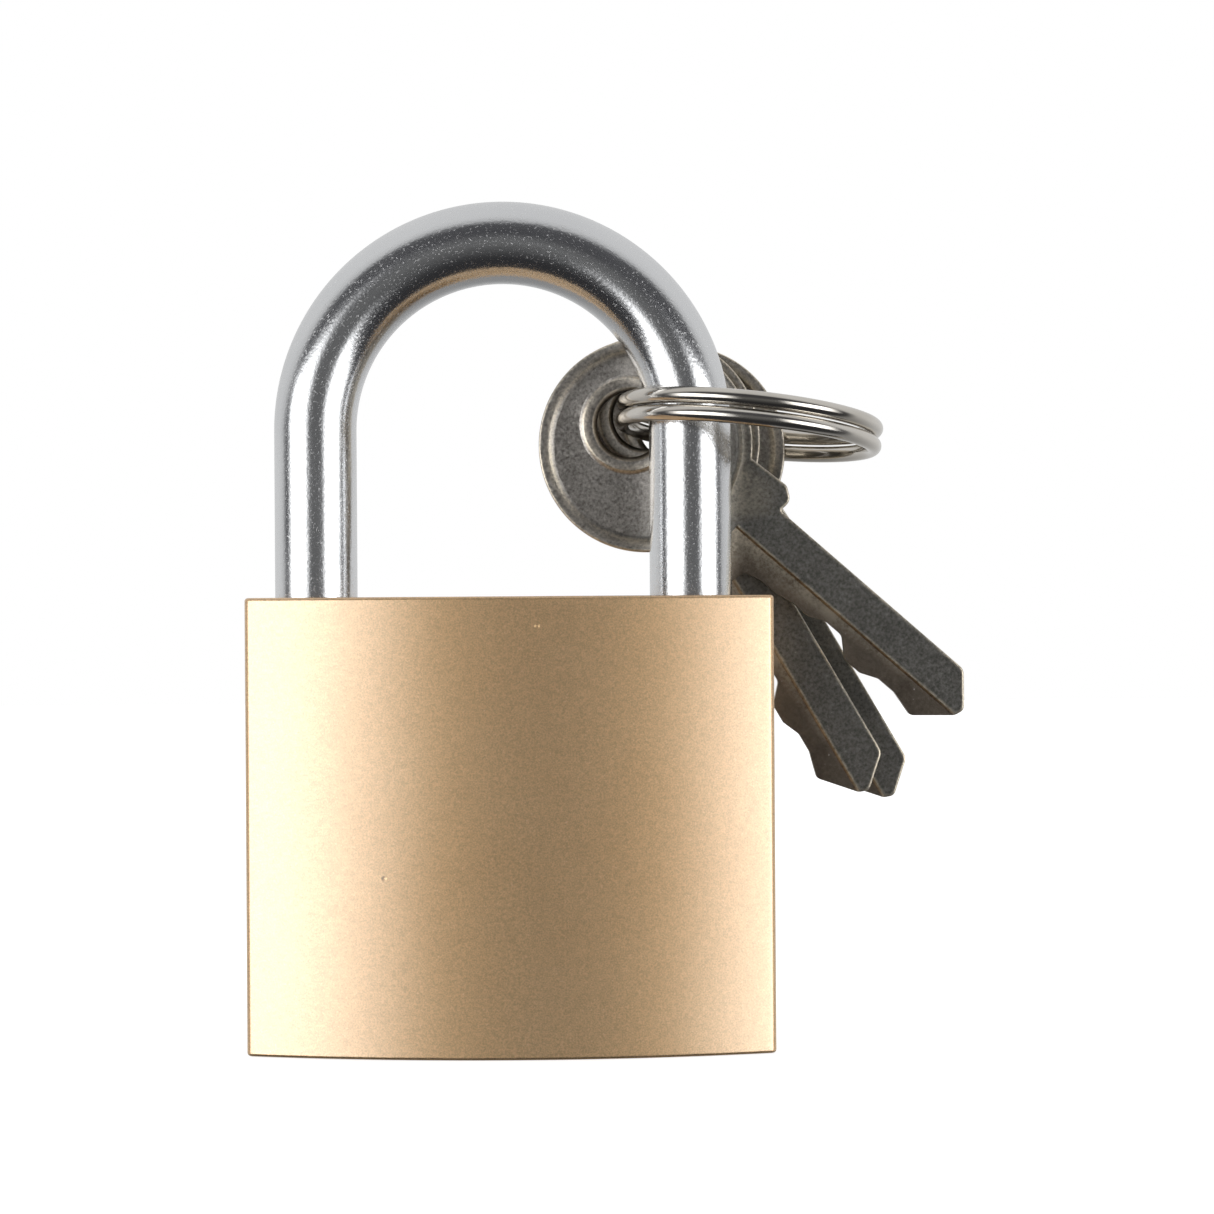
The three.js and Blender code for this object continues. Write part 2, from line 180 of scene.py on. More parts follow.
def stack_rings(rings):
    """Faces between rings of equal length, with an n-gon at each end."""
    count = len(rings[0])
    verts = [v for ring in rings for v in ring]
    faces = []
    last = len(rings) - 1
    for i in range(last):
        a, b = i * count, (i + 1) * count
        for k in range(count):
            n = (k + 1) % count
            faces.append((a + k, a + n, b + n, b + k))
    faces.append(tuple(reversed(range(count))))
    faces.append(tuple(range(last * count, last * count + count)))
    return verts, faces


def lathe(name, outline, origin=(0, 0, 0), axis="Z", sides=64):
    """A turned solid: outline is (distance along the axis, radius) from one end to the other."""
    along = {"X": Vector((1, 0, 0)), "Y": Vector((0, 1, 0)), "Z": Vector((0, 0, 1))}[axis]
    right = Vector((0, 0, 1)) if axis != "Z" else Vector((1, 0, 0))
    up = along.cross(right)
    rings = []
    for distance, radius in outline:
        centre = Vector(origin) + along * distance
        turn = [2 * math.pi * k / sides for k in range(sides)]
        rings.append([centre + (right * math.cos(t) + up * math.sin(t)) * radius for t in turn])
    return new_object(name, *stack_rings(rings))


def rod(name, radius, low, high, origin=(0, 0, 0), axis="Z", sides=64, chamfer=0.0):
    """A round rod with chamfered ends, from low to high along the axis."""
    if not chamfer:
        return lathe(name, [(low, radius), (high, radius)], origin, axis, sides)
    inner = radius - chamfer
    outline = [(low, inner), (low + chamfer, radius), (high - chamfer, radius), (high, inner)]
    return lathe(name, outline, origin, axis, sides)


def keep_places(obj, name, places):
    """Keeps a place for each point of the mesh, in metres, for its material to draw its detail in."""
    attribute = obj.data.attributes.new(name, "FLOAT_VECTOR", "POINT")
    attribute.data.foreach_set("vector", [c for place in places for c in place])


def sweep(name, path, sides=32):
    """A round bar along path, a list of (point, radius), with its own straight place kept on its points."""
    points = [Vector(p) for p, _ in path]
    before = [points[0]] + points[:-1]
    after = points[1:] + [points[-1]]
    tangents = [(there - here).normalized() for here, there in zip(before, after)]
    side = tangents[0].orthogonal().normalized()
    rings, places, length = [], [], 0.0
    for i, (point, tangent) in enumerate(zip(points, tangents)):
        side = (side - tangent * side.dot(tangent)).normalized()
        other = tangent.cross(side)
        length += (point - before[i]).length
        ring = []
        for k in range(sides):
            turn = 2 * math.pi * k / sides
            radius = path[i][1]
            ring.append(point + (side * math.cos(turn) + other * math.sin(turn)) * radius)
            places.append(Vector((math.cos(turn) * radius, math.sin(turn) * radius, length)) * MM)
        rings.append(ring)
    obj = new_object(name, *stack_rings(rings))
    keep_places(obj, "bar_place", places)
    return obj


def prism(name, outline, low, high, plane="XZ"):
    """A straight prism: outline points lie in plane, and low and high are on the third axis."""
    place = {
        "XZ": lambda a, b, c: (a, c, b),
        "YZ": lambda a, b, c: (c, a, b),
        "XY": lambda a, b, c: (a, b, c),
    }[plane]
    rings = [[place(a, b, c) for a, b in outline] for c in (low, high)]
    return tidy(new_object(name, *stack_rings(rings)))


def block(name, low, high):
    """A plain box between two corners, for cutting and for the floor."""
    outline = [(low[0], low[1]), (high[0], low[1]), (high[0], high[1]), (low[0], high[1])]
    return prism(name, outline, low[2], high[2], "XY")


# ---------------------------------------------------------------- shader nodes


def feed(tree, socket, value):
    """Links an output socket to the input, or sets the input's own value."""
    if isinstance(value, bpy.types.NodeSocket):
        tree.links.new(value, socket)
    elif socket.type == "RGBA" and len(value) == 3:
        socket.default_value = (*value, 1)
    else:
        socket.default_value = value


def node(tree, kind, settings=None, **inputs):
    """A node with its settings and inputs."""
    made = tree.nodes.new(kind)
    for key, value in (settings or {}).items():
        setattr(made, key, value)
    for key, value in inputs.items():
        feed(tree, made.inputs[key.replace("_", " ")], value)
    return made


def maths(tree, operation, first, second=0.0):
    """The output of a maths node."""
    made = node(tree, "ShaderNodeMath", {"operation": operation})
    feed(tree, made.inputs[0], first)
    feed(tree, made.inputs[1], second)
    return made.outputs[0]


def length_of(tree, first, second):
    """The length of a vector of two parts."""
    squares = [maths(tree, "POWER", part, 2.0) for part in (first, second)]
    return maths(tree, "SQRT", maths(tree, "ADD", *squares))


def ramp(tree, factor, *stops):
    """A colour ramp: each stop is (position, grey or colour)."""
    made = tree.nodes.new("ShaderNodeValToRGB")
    elements = made.color_ramp.elements
    while len(elements) < len(stops):
        elements.new(0.5)
    for element, (position, colour) in zip(elements, stops):
        element.position = position
        grey = isinstance(colour, (int, float))
        element.color = (colour, colour, colour, 1) if grey else (*colour, 1)
    tree.links.new(factor, made.inputs[0])
    return made.outputs[0]


def mix(tree, factor, first, second, blend="MIX"):
    """Two colours mixed by a factor."""
    made = node(tree, "ShaderNodeMix", {"data_type": "RGBA", "blend_type": blend})
    for index, value in ((0, factor), (6, first), (7, second)):
        feed(tree, made.inputs[index], value)
    return made.outputs[2]


def darker(tree, colour, share):
    """A colour times a grey."""
    return mix(tree, 1.0, colour, (share, share, share), "MULTIPLY")


def noise(tree, place, scale, detail=2.0, stretch=(1, 1, 1), roughness=0.5):
    """Noise at a scale in features per metre, stretched along an axis."""
    mapped = node(tree, "ShaderNodeMapping", Vector=place, Scale=stretch)
    made = node(
        tree,
        "ShaderNodeTexNoise",
        Vector=mapped.outputs[0],
        Scale=scale,
        Detail=detail,
        Roughness=roughness,
    )
    return made.outputs["Fac"]


def start_metal(name, place_name=None):
    """A material with a principled metal shader, and the coordinates to draw its detail in."""
    material = bpy.data.materials.new(name)
    material.use_nodes = True
    tree = material.node_tree
    shader = tree.nodes["Principled BSDF"]
    shader.inputs["Metallic"].default_value = 1.0
    if place_name:
        place = node(tree, "ShaderNodeAttribute", {"attribute_name": place_name}).outputs["Vector"]
    else:
        place = node(tree, "ShaderNodeTexCoord").outputs["Object"]
    return material, tree, shader, place


def finish_metal(tree, shader, colour, roughness, height, depth):
    """Links the colour, roughness and bump. Depth is the height's full range in metres."""
    tree.links.new(colour, shader.inputs["Base Color"])
    tree.links.new(roughness, shader.inputs["Roughness"])
    bump = node(tree, "ShaderNodeBump", Height=height, Distance=depth, Strength=1.0)
    tree.links.new(bump.outputs[0], shader.inputs["Normal"])


def brushed_brass():
    """Lacquered satin brass, finely brushed along X, with a fine grain and a few small dents."""
    material, tree, shader, place = start_metal("brushed_brass")
    shader.inputs["Coat Weight"].default_value = 1.0
    shader.inputs["Coat Roughness"].default_value = 0.18
    shader.inputs["Coat IOR"].default_value = 2.15
    brush = noise(tree, place, 6000, 3.0, (0.03, 1, 1), 0.65)
    grain = noise(tree, place, 8200, 2.0, (1, 1, 1), 0.6)
    patch = noise(tree, place, 3200, 2.0, (0.6, 1, 1), 0.6)
    cloud = noise(tree, place, 90, 3.0)
    cells = node(tree, "ShaderNodeTexVoronoi", Vector=place, Scale=430.0, Randomness=1.0)
    pick = node(tree, "ShaderNodeSeparateColor", Color=cells.outputs["Color"])
    chosen = maths(tree, "GREATER_THAN", pick.outputs[0], 0.93)
    hollow = ramp(tree, cells.outputs["Distance"], (0.0, 1.0), (0.1, 0.0))
    dent = maths(tree, "MULTIPLY", chosen, hollow)
    tone = ramp(tree, cloud, (0.3, (0.95, 0.625, 0.315)), (0.7, (0.985, 0.665, 0.350)))
    shade = maths(tree, "ADD", maths(tree, "MULTIPLY", grain, 0.75), maths(tree, "MULTIPLY", patch, 0.25))
    speckled = mix(tree, ramp(tree, shade, (0.36, 0.0), (0.62, 1.0)), darker(tree, tone, 0.72), tone)
    bright = mix(tree, ramp(tree, grain, (0.66, 0.0), (0.76, 0.5)), speckled, (1.0, 0.82, 0.58))
    roughness = ramp(tree, brush, (0.3, 0.44), (0.7, 0.52))
    lines = maths(tree, "ADD", maths(tree, "MULTIPLY", brush, 0.4), maths(tree, "MULTIPLY", grain, 0.6))
    height = maths(tree, "SUBTRACT", lines, maths(tree, "MULTIPLY", dent, 5.0))
    finish_metal(tree, shader, bright, roughness, height, 0.000012)
    return material


def plated_steel():
    """Bright plated steel bar, drawn lengthwise, with a fine grain that breaks up its reflections."""
    material, tree, shader, place = start_metal("plated_steel", "bar_place")
    drawn = noise(tree, place, 2600, 3.0, (1, 1, 0.06), 0.6)
    grain = noise(tree, place, 4600, 1.0, (1, 1, 0.8))
    pits = noise(tree, place, 7000, 1.0, (1, 1, 0.8))
    cloud = noise(tree, place, 160, 2.0, (1, 1, 0.4))
    speck = ramp(tree, pits, (0.62, 0.0), (0.70, 1.0))
    tone = ramp(tree, cloud, (0.3, (0.73, 0.74, 0.755)), (0.7, (0.80, 0.81, 0.82)))
    colour = mix(tree, maths(tree, "MULTIPLY", speck, 0.5), tone, (0.97, 0.97, 0.97))
    smooth = ramp(tree, drawn, (0.3, 0.16), (0.75, 0.23))
    roughness = maths(tree, "ADD", smooth, maths(tree, "MULTIPLY", speck, 0.25))
    height = maths(tree, "ADD", maths(tree, "MULTIPLY", drawn, 0.4), grain)
    finish_metal(tree, shader, colour, roughness, height, 0.000008)
    return material


def nickel_wire():
    """Bright, slightly warm nickel wire with light wear."""
    material, tree, shader, place = start_metal("nickel_wire", "bar_place")
    drawn = noise(tree, place, 3000, 2.0, (1, 1, 0.08))
    dull = noise(tree, place, 500, 3.0, (1, 1, 0.3))
    colour = ramp(tree, dull, (0.35, (0.60, 0.565, 0.51)), (0.7, (0.76, 0.73, 0.68)))
    roughness = ramp(tree, dull, (0.3, 0.09), (0.7, 0.2))
    finish_metal(tree, shader, colour, roughness, drawn, 0.0000030)
    return material


def key_metal():
    """Dull nickel plate over brass: darker on the blade, brown where it's milled, worn at the edges, and
    painted shade in the hole.
    """
    material, tree, shader, place = start_metal("key_nickel", "key_place")
    split = node(tree, "ShaderNodeSeparateXYZ", Vector=place)
    along, through, across = [maths(tree, "DIVIDE", axis, MM) for axis in split.outputs]
    on_blade = maths(tree, "GREATER_THAN", along, BLADE_START)
    below = maths(tree, "LESS_THAN", across, STEP_LINE)
    in_front = maths(tree, "LESS_THAN", through, 0.0)
    milled = maths(tree, "MULTIPLY", maths(tree, "MULTIPLY", on_blade, below), in_front)
    from_step = maths(tree, "ABSOLUTE", maths(tree, "SUBTRACT", across, STEP_LINE - 0.02))
    near_step = maths(tree, "MULTIPLY", ramp(tree, from_step, (0.07, 1.0), (0.2, 0.0)), on_blade)
    dark = ramp(tree, maths(tree, "DIVIDE", along, KEY_LENGTH), (0.12, 0.0), (0.3, 1.0))
    # painted shade: the key hole's bore and the inner part of its bevel are painted near black
    from_hole = maths(tree, "SUBTRACT", length_of(tree, along, across), KEY_HOLE)
    painted_hole_shade = ramp(tree, from_hole, (0.12, 0.85), (0.34, 0.0))
    mottle = noise(tree, place, 4200, 3.0, (1, 1, 1), 0.7)
    cloud = noise(tree, place, 260, 3.0)
    scratch = noise(tree, place, 2600, 2.0, (0.07, 1, 1))
    wear = node(tree, "ShaderNodeAttribute", {"attribute_name": "wear"}).outputs["Fac"]
    bow = ramp(tree, mottle, (0.3, (0.27, 0.25, 0.225)), (0.7, (0.62, 0.59, 0.55)))
    land = ramp(tree, mottle, (0.3, (0.155, 0.15, 0.135)), (0.7, (0.35, 0.34, 0.315)))
    brown = ramp(tree, cloud, (0.35, (0.15, 0.11, 0.075)), (0.7, (0.26, 0.205, 0.15)))
    plate = mix(tree, dark, bow, land)
    stained = mix(tree, maths(tree, "MULTIPLY", milled, 0.7), plate, brown)
    edge = maths(tree, "MAXIMUM", wear, maths(tree, "MULTIPLY", near_step, 0.8))
    blotches = maths(tree, "MULTIPLY", maths(tree, "ADD", cloud, mottle), 0.5)
    patchy = ramp(tree, blotches, (0.4, 0.25), (0.6, 1.0))
    rubbed = maths(tree, "MULTIPLY", edge, patchy)
    colour = mix(tree, rubbed, stained, (0.80, 0.71, 0.56))
    hole_shaded = mix(tree, painted_hole_shade, colour, (0.055, 0.045, 0.035))
    specks = mix(tree, ramp(tree, mottle, (0.71, 0.0), (0.78, 0.8)), hole_shaded, (0.95, 0.92, 0.86))
    roughness = ramp(tree, mottle, (0.3, 0.30), (0.75, 0.46))
    height = maths(tree, "ADD", mottle, maths(tree, "MULTIPLY", scratch, 0.5))
    finish_metal(tree, shader, specks, roughness, height, 0.00002)
    return material


def plain_metal(name, low, high, rough_low, rough_high, stretch=(1, 1, 1)):
    """A turned or drawn metal for the small pieces, between two tones."""
    material, tree, shader, place = start_metal(name)
    lines = noise(tree, place, 3000, 3.0, stretch)
    cloud = noise(tree, place, 400, 2.0)
    colour = ramp(tree, cloud, (0.3, low), (0.7, high))
    roughness = ramp(tree, lines, (0.3, rough_low), (0.7, rough_high))
    finish_metal(tree, shader, colour, roughness, lines, 0.0000040)
    return material


def turned_brass():
    """Brass faced in a lathe: fine rings around the Z axis on its end, and a little dirt."""
    material, tree, shader, place = start_metal("turned_brass")
    split = node(tree, "ShaderNodeSeparateXYZ", Vector=place)
    radius = length_of(tree, split.outputs[0], split.outputs[1])
    rings = node(tree, "ShaderNodeTexNoise", {"noise_dimensions": "1D"}, W=radius, Scale=5200.0, Detail=3.0)
    cloud = noise(tree, place, 300, 3.0)
    colour = ramp(tree, cloud, (0.3, (0.66, 0.46, 0.23)), (0.7, (0.84, 0.63, 0.36)))
    roughness = ramp(tree, rings.outputs["Fac"], (0.3, 0.2), (0.7, 0.36))
    finish_metal(tree, shader, colour, roughness, rings.outputs["Fac"], 0.0000060)
    return material


BRASS = brushed_brass()
PLATED = plated_steel()
NICKEL = nickel_wire()
KEY_METAL = key_metal()
TURNED = turned_brass()
CAP_BRASS = plain_metal("cap_brass", (0.76, 0.54, 0.29), (0.86, 0.64, 0.37), 0.26, 0.4, (1, 0.05, 1))
PIN_BRASS = plain_metal("pin_brass", (0.78, 0.56, 0.30), (0.88, 0.66, 0.38), 0.2, 0.34)
PIN_STEEL = plain_metal("pin_steel", (0.48, 0.48, 0.50), (0.62, 0.62, 0.64), 0.22, 0.38)
WIRE_STEEL = plain_metal("wire_steel", (0.42, 0.42, 0.44), (0.60, 0.60, 0.62), 0.25, 0.42)


def place_piece(obj, material, body, slot, *nodes):
    """Gives a piece its material, lets it ride on its body and stand for its CAD nodes. The slot is not
    used.
    """
    obj.data.materials.clear()
    obj.data.materials.append(material)
    if nodes:
        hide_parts(*nodes)
    if body:
        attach(obj, body)


# ---------------------------------------------------------------- case

CASE_LOW, CASE_HIGH, _ = box_mm("lock_body")
CASE_WIDTH, CASE_DEPTH, CASE_HEIGHT = CASE_HIGH - CASE_LOW
CROWN_RISE = (CASE_DEPTH - SIDE_DEPTH) / 2
CROWN_RADIUS = (CASE_WIDTH**2 / 4 + CROWN_RISE**2) / (2 * CROWN_RISE)
CROWN_CENTRE = CASE_DEPTH / 2 - CROWN_RADIUS


def case_outline(inset):
    """The case seen from above, inset all round: crowned front and back, flat sides, rounded corners."""
    corner_x = CASE_WIDTH / 2 - CASE_CORNER
    corner_y = CROWN_CENTRE + math.sqrt((CROWN_RADIUS - CASE_CORNER) ** 2 - corner_x**2)
    lean = math.atan2(corner_y - CROWN_CENTRE, corner_x)
    corner_steps, crown_steps = 8, 112
    quarter = []
    for k in range(corner_steps + 1):
        turn = lean * k / corner_steps
        reach = CASE_CORNER - inset
        quarter.append((corner_x + reach * math.cos(turn), corner_y + reach * math.sin(turn)))
    for k in range(1, crown_steps // 2 + 1):
        turn = lean + (math.pi / 2 - lean) * k / (crown_steps // 2)
        reach = CROWN_RADIUS - inset
        quarter.append((reach * math.cos(turn), CROWN_CENTRE + reach * math.sin(turn)))
    left = [(-x, y) for x, y in reversed(quarter[:-1])]
    back = quarter + left
    return back + [(x, -y) for x, y in reversed(back)]


def case_blank():
    """The solid case with all its edges rounded."""
    steps = 6
    bottom = []
    for k in range(steps + 1):
        turn = math.pi / 2 * k / steps
        bottom.append((CASE_EDGE * (1 - math.sin(turn)), CASE_EDGE * (1 - math.cos(turn))))
    levels = [(inset, z) for inset, z in bottom]
    levels += [(inset, CASE_HEIGHT - z) for inset, z in reversed(bottom)]
    rings = [[(x, y, z) for x, y in case_outline(inset)] for inset, z in levels]
    return new_object("case", *stack_rings(rings))


SHACKLE_LOW, SHACKLE_HIGH, _ = box_mm("shackle")
BAR_RADIUS = (SHACKLE_HIGH.y - SHACKLE_LOW.y) / 2
HEEL_X = SHACKLE_LOW.x + BAR_RADIUS
TOE_X = SHACKLE_HIGH.x - BAR_RADIUS
HEEL_Z = SHACKLE_LOW.z
ARCH_RADIUS = (TOE_X - HEEL_X) / 2
ARCH_X = (TOE_X + HEEL_X) / 2
ARCH_Z = SHACKLE_HIGH.z - BAR_RADIUS - ARCH_RADIUS
LATCH_LOW, LATCH_HIGH, LATCH_MIDDLE = box_mm("latch_bolt")
PLUG_LOW, PLUG_HIGH, _ = box_mm("cylinder_plug")
PLUG_RADIUS = (PLUG_HIGH.x - PLUG_LOW.x) / 2


def leg_bore(name, x, bottom):
    """The cutter for a leg's bore, flared a little at the case's top."""
    radius = BAR_RADIUS + BORE_GAP
    flare = radius + 0.25
    top = CASE_HEIGHT
    outline = [(bottom, radius), (top - 0.2, radius), (top + 0.05, flare), (top + 1, flare)]
    return lathe(name, outline, (x, 0, 0), "Z", 96)


def make_case():
    """The case, drilled for all that it holds. The pin chambers are cut first, or the cut leaves a skin."""
    spring_low = box_mm("shackle_spring")[0]
    tail = box_mm("latch_spring")[0].x
    past = CASE_WIDTH / 2 + 1
    behind = CASE_DEPTH / 2 + 1.5
    plug_bore = PLUG_RADIUS + BORE_GAP
    plug_mouth = plug_bore + 0.2
    plug_outline = [(-1, plug_mouth), (0, plug_mouth), (0.2, plug_bore), (PLUG_TOP + 0.15, plug_bore)]
    cutters = []
    for i in PINS:
        place = (0, 0, box_mm(f"driver_pin_{i}")[2].z)
        cutters.append(rod(f"chamber_{i}", PIN_RADIUS + 0.1, PLUG_RADIUS - 1, past, place, "X", 48))
    cutters += [
        leg_bore("heel_bore", HEEL_X, spring_low.z - 0.1),
        leg_bore("toe_bore", TOE_X, TOE_Z - 0.3),
        lathe("plug_bore", plug_outline, sides=96),
        rod("neck_bore", NECK_RADIUS + BORE_GAP, PLUG_TOP - 1, LATCH_MIDDLE.z, sides=48),
        rod("latch_bore", LATCH_RADIUS + 0.1, tail - 0.1, past, (0, 0, LATCH_MIDDLE.z), "X"),
    ]
    for name in ("plug_retaining_pin", "heel_retaining_pin"):
        low, _, middle = box_mm(name)
        place = (middle.x, 0, middle.z)
        hole = rod(name + "_hole", CROSS_PIN_RADIUS + 0.05, low.y - 0.05, behind, place, "Y", 48)
        cutters.append(hole)
    case = case_blank()
    for cutter in cutters:
        combine(case, "DIFFERENCE", tidy(cutter))
    tidy(case, 32, True)
    place_piece(case, BRASS, "case", "case_brass", "lock_body")


def make_caps():
    """The brass caps and cross pins that are pressed in and ground flush."""
    names = [f"chamber_cap_{i}" for i in PINS] + ["latch_hole_cap"]
    for name in names:
        low, high, middle = box_mm(name)
        radius = (high.z - low.z) / 2 + 0.06
        cap = rod(name + "_fine", radius, low.x, high.x + 0.07, (0, 0, middle.z), "X", 64, 0.05)
        place_piece(tidy(cap), CAP_BRASS, "case", "cap_brass", name)
    for name in ("plug_retaining_pin", "heel_retaining_pin"):
        low, high, middle = box_mm(name)
        place = (middle.x, 0, middle.z)
        pin = rod(name + "_fine", CROSS_PIN_RADIUS, low.y, high.y + 0.06, place, "Y", 48, 0.05)
        place_piece(tidy(pin), CAP_BRASS, "case", "cap_brass", name)


# ---------------------------------------------------------------- shackle


def shackle_path():
    """From the toe's tip over the arch to the heel's end, as (point, radius)."""
    pin_z = box_mm("heel_retaining_pin")[2].z
    neck_top = pin_z + CROSS_PIN_RADIUS + 0.3
    collar_top = HEEL_Z + HEEL_COLLAR
    path = [((TOE_X, 0, TOE_Z), BAR_RADIUS - 0.6), ((TOE_X, 0, TOE_Z + 0.8), BAR_RADIUS)]
    notch = notch_heights()
    heights = sorted([TOE_Z + 1.5, *notch, notch[0] - 1e-3, notch[1] + 1e-3, 30, 34, 38, 42, 46])
    path += [((TOE_X, 0, z), BAR_RADIUS) for z in heights]
    steps = 144
    for k in range(steps + 1):
        turn = math.pi * k / steps
        point = (ARCH_X + ARCH_RADIUS * math.cos(turn), 0, ARCH_Z + ARCH_RADIUS * math.sin(turn))
        path.append((point, BAR_RADIUS))
    heel = [(44, BAR_RADIUS), (36, BAR_RADIUS), (28, BAR_RADIUS), (neck_top, BAR_RADIUS)]
    heel += [(neck_top - 0.01, HEEL_NECK), (collar_top + 0.01, HEEL_NECK)]
    heel += [(collar_top, BAR_RADIUS - 0.2)]
    heel += [(collar_top - 0.2, BAR_RADIUS), (HEEL_Z + 0.3, BAR_RADIUS), (HEEL_Z, BAR_RADIUS - 0.3)]
    return path + [((HEEL_X, 0, z), radius) for z, radius in heel]


def notch_heights():
    """The lowest and highest height of the toe's notch for the latch bolt."""
    half = LATCH_RADIUS + 0.2
    return LATCH_MIDDLE.z - half, LATCH_MIDDLE.z + half


def make_shackle():
    """The bar, with its toe's points moved out to the notch's floor."""
    bar = sweep("shackle_bar_fine", shackle_path(), 72)
    low, high = notch_heights()
    floor = (TOE_X - BAR_RADIUS + NOTCH_DEPTH) * MM
    for vertex in bar.data.vertices:
        z = vertex.co.z / MM
        if vertex.co.x > 0 and low - 1e-4 <= z <= high + 1e-4:
            vertex.co.x = max(vertex.co.x, floor)
    tidy(bar)
    place_piece(bar, PLATED, "shackle_bar", "shackle_chrome", "shackle")


# ---------------------------------------------------------------- split ring


def make_ring():
    """Two flat turns of wire with a short step between them and chamfered ends."""
    steps = 440
    end_shares = (0.72, 0.93)
    ring_centre = box_mm("split_ring")[2]
    turn_matrix = Matrix.Rotation(RING_TILT[0], 3, "X") @ Matrix.Rotation(RING_TILT[1], 3, "Y")
    path = []
    for k in range(steps + 1):
        degrees = RING_END_GAP + (720 - 2 * RING_END_GAP) * k / steps
        share = min(max((degrees - 360 + RING_END_GAP) / (2 * RING_END_GAP), 0), 1)
        height = (share * share * (3 - 2 * share) - 0.5) * RING_PITCH
        turn = math.radians(degrees + RING_FIRST_TURN)
        local = Vector((RING_RADIUS * math.cos(turn), RING_RADIUS * math.sin(turn), height))
        from_end = min(k, steps - k)
        radius = RING_WIRE * end_shares[from_end] if from_end < len(end_shares) else RING_WIRE
        path.append((turn_matrix @ local + ring_centre, radius))
    ring = tidy(sweep("split_ring_fine", path, 28), 50)
    place_piece(ring, NICKEL, "ring", "ring_nickel", "split_ring")


# ---------------------------------------------------------------- keys


def rounded(corners, steps=6):
    """An open line through (x, y, radius) corners, each rounded by its radius."""
    line = []
    for i, (x, y, radius) in enumerate(corners):
        here = Vector((x, y))
        if not radius or i in (0, len(corners) - 1):
            line.append(here)
            continue
        before = Vector(corners[i - 1][:2]) - here
        after = Vector(corners[i + 1][:2]) - here
        half = before.angle(after) / 2
        reach = min(radius / math.tan(half), before.length * 0.45, after.length * 0.45)
        start = here + before.normalized() * reach
        end = here + after.normalized() * reach
        for k in range(steps + 1):
            t = k / steps
            line.append(start * (1 - t) ** 2 + here * 2 * t * (1 - t) + end * t * t)
    return line


def key_outline():
    """Counter-clockwise outline from the bow's middle: bow, lower edge with its cuts, tip, upper edge."""
    first = math.asin(KEY_NECK_HIGH / KEY_BOW)
    last = math.asin(KEY_NECK_LOW / KEY_BOW) + 2 * math.pi
    steps = 110
    turns = [first + (last - first) * k / steps for k in range(steps + 1)]
    bow = [Vector((KEY_BOW * math.cos(t), KEY_BOW * math.sin(t))) for t in turns]
    corners = [
        (bow[-1].x, bow[-1].y, 0),
        (KEY_SHOULDER + 0.5, KEY_NECK_LOW, 0.5),
        (KEY_SHOULDER + 0.9, KEY_NECK_LOW + 0.5, 0.3),
        (KEY_SHOULDER + 1.2, BLADE_BOTTOM, 0.3),
    ]
    for i, depth in enumerate(KEY_CUTS):
        middle = KEY_SHOULDER + FIRST_CUT + i * CUT_PITCH
        floor = BLADE_BOTTOM + depth
        corners += [(middle - 0.8, floor, 0.7), (middle + 0.8, floor, 0.7)]
    corners += [
        (KEY_LENGTH - 3.7, BLADE_BOTTOM + 0.25, 0.3),
        (KEY_LENGTH - 2.9, BLADE_BOTTOM + 0.05, 0.5),
        (KEY_LENGTH - 0.3, -0.2, 0.8),
        (KEY_LENGTH, 0.6, 0.7),
        (KEY_LENGTH - 2.1, BLADE_TOP - 0.02, 0.9),
        (KEY_SHOULDER + 0.2, BLADE_TOP, 0.25),
        (KEY_SHOULDER + 0.3, KEY_NECK_HIGH - 0.5, 0.9),
        (KEY_SHOULDER - 0.7, KEY_NECK_HIGH + 0.2, 0.7),
        (bow[0].x, bow[0].y, 0),
    ]
    return bow + rounded(corners)[1:-1]


def inset_line(line, distance):
    """A closed counter-clockwise line moved inwards by a small distance."""
    moved = []
    count = len(line)
    for i, here in enumerate(line):
        before = (here - line[i - 1]).normalized()
        after = (line[(i + 1) % count] - here).normalized()
        along = (before + after).normalized()
        normal = Vector((-along.y, along.x))
        stretch = 1 / max(normal.dot(Vector((-before.y, before.x))), 0.5)
        moved.append(here + normal * distance * stretch)
    return moved


def circle(centre, radius, count=72):
    """The points of a circle, counter-clockwise."""
    turns = [2 * math.pi * k / count for k in range(count)]
    return [centre + Vector((math.cos(t), math.sin(t))) * radius for t in turns]


class Plate:
    """A flat piece built from closed loops at given heights, kept as one closed surface."""

    def __init__(self):
        self.bm = bmesh.new()
        self.wear = self.bm.verts.layers.float.new("wear")

    def loop(self, line, height, wear=0.0):
        """The points of a closed line at a height, with how worn they are."""
        verts = [self.bm.verts.new((p.x * MM, height * MM, p.y * MM)) for p in line]
        for vert in verts:
            vert[self.wear] = wear
        return verts

    def band(self, first, second):
        """Quads between two loops with equally many points."""
        count = len(first)
        for k in range(count):
            n = (k + 1) % count
            self.bm.faces.new((first[k], first[n], second[n], second[k]))

    def fill(self, *loops):
        """A flat face between an outer loop and the loops inside it."""
        edges = []
        for verts in loops:
            for k, vert in enumerate(verts):
                pair = (vert, verts[(k + 1) % len(verts)])
                edges.append(self.bm.edges.get(pair) or self.bm.edges.new(pair))
        bmesh.ops.triangle_fill(self.bm, use_beauty=True, edges=edges)

    def object(self, name):
        """The plate as an object, with its faces turned out."""
        bmesh.ops.recalc_face_normals(self.bm, faces=self.bm.faces)
        mesh = bpy.data.meshes.new(name)
        self.bm.to_mesh(mesh)
        self.bm.free()
        obj = bpy.data.objects.new(name, mesh)
        bpy.context.scene.collection.objects.link(obj)
        return obj


